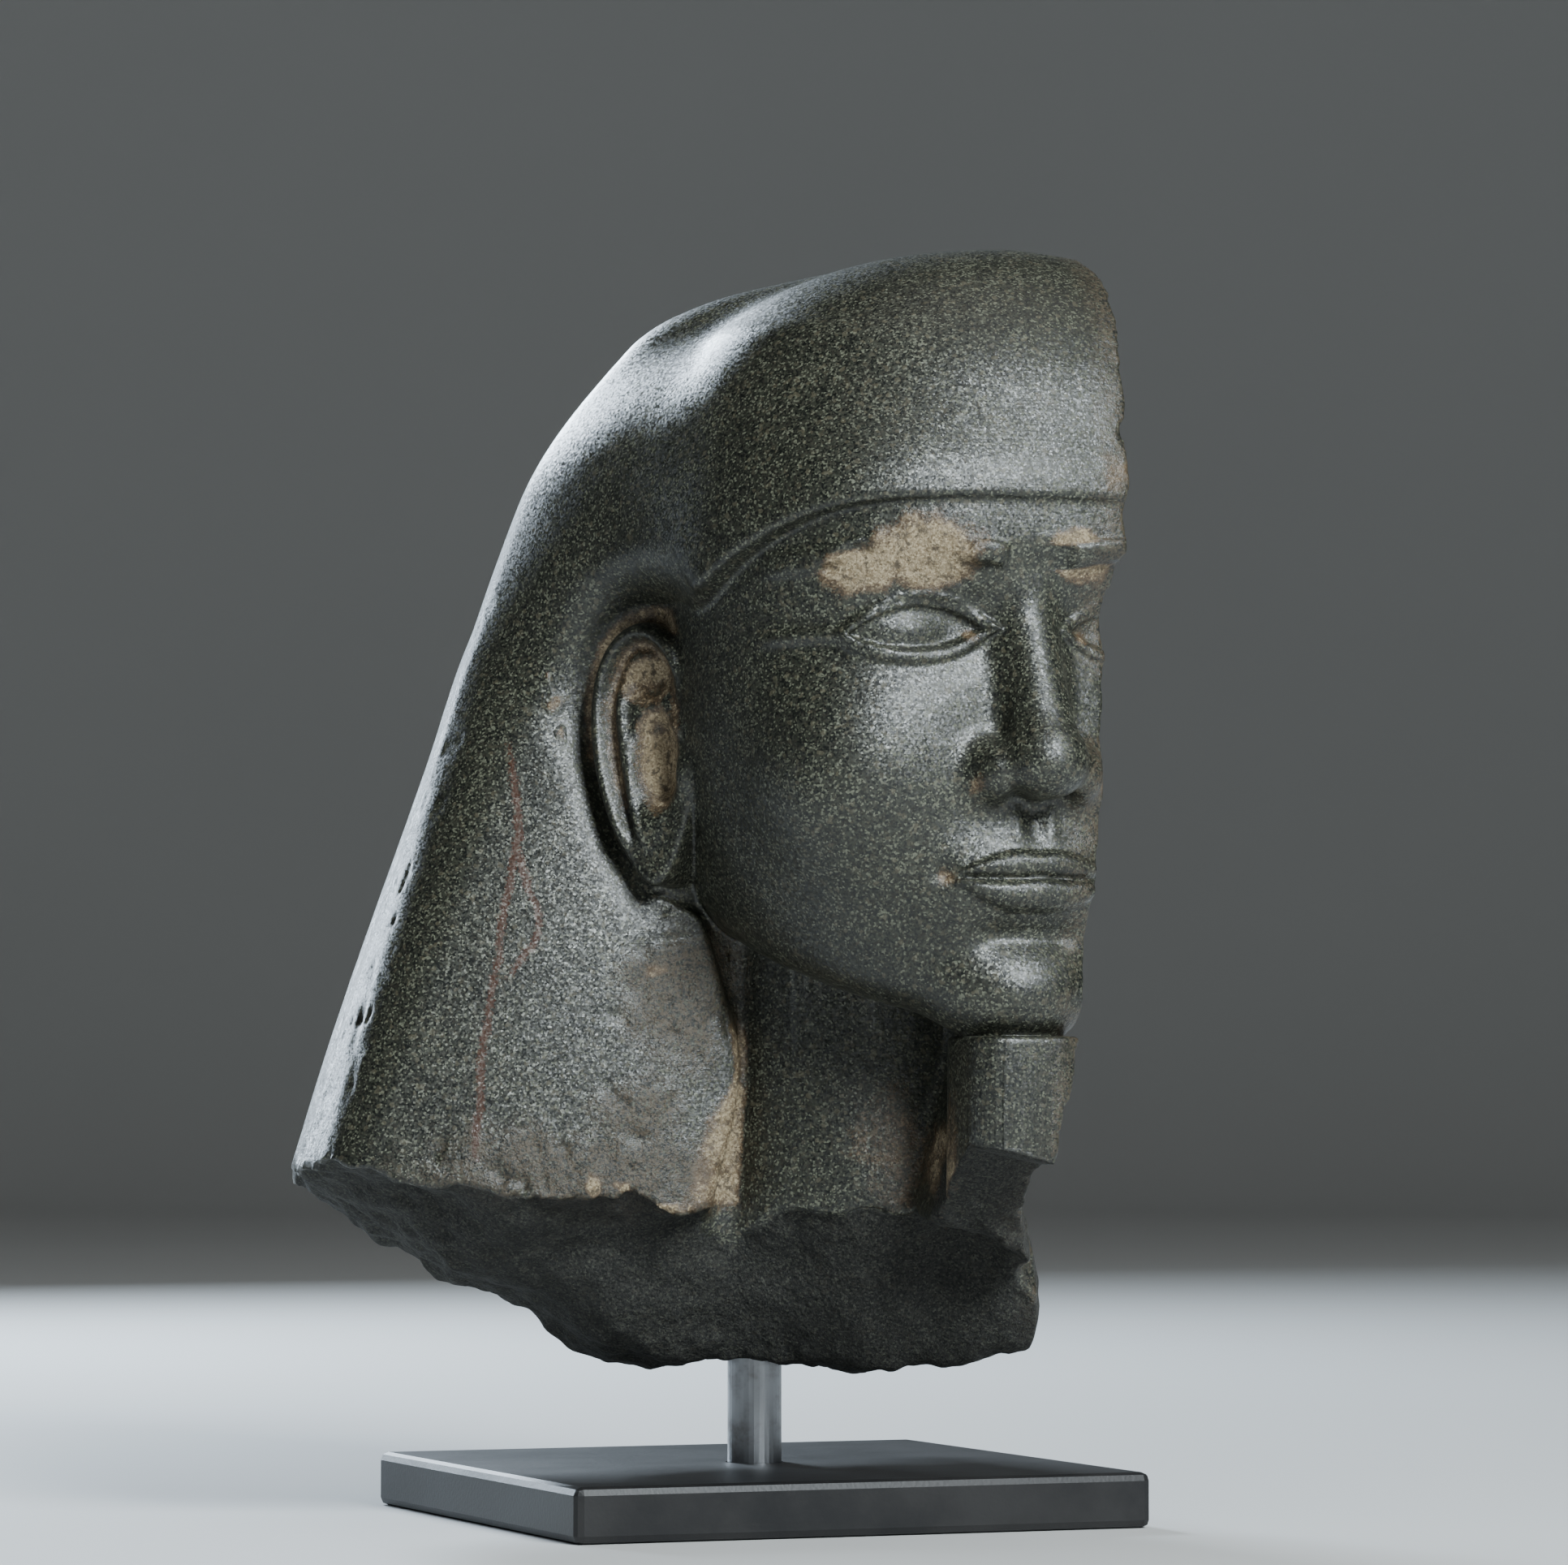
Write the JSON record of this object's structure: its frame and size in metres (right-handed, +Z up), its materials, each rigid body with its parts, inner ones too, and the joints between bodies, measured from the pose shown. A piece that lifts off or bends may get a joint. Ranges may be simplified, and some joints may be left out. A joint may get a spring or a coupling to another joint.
{
  "type": "broken stone head on a mount",
  "caption": "Dark stone head in a plain flaring bag wig with a short beard, broken down its left side and through the neck, held up by a steel rod on a low square foot.",
  "frame": {"origin": "centre of the foot's underside, on the rod's axis", "axes": "+Z up; -Y the way the face looks; -X the sitter's right"},
  "size_m": [0.1128, 0.1174, 0.1865],
  "materials": {
    "schist": "worked smooth, fine-grained, rough where broken",
    "rod_steel": "satin",
    "foot_black": "satin black"
  },
  "bodies": {
    "root": {"schist_head": "schist", "mount_rod": "rod_steel", "mount_foot": "foot_black"}
  },
  "joints": []
}
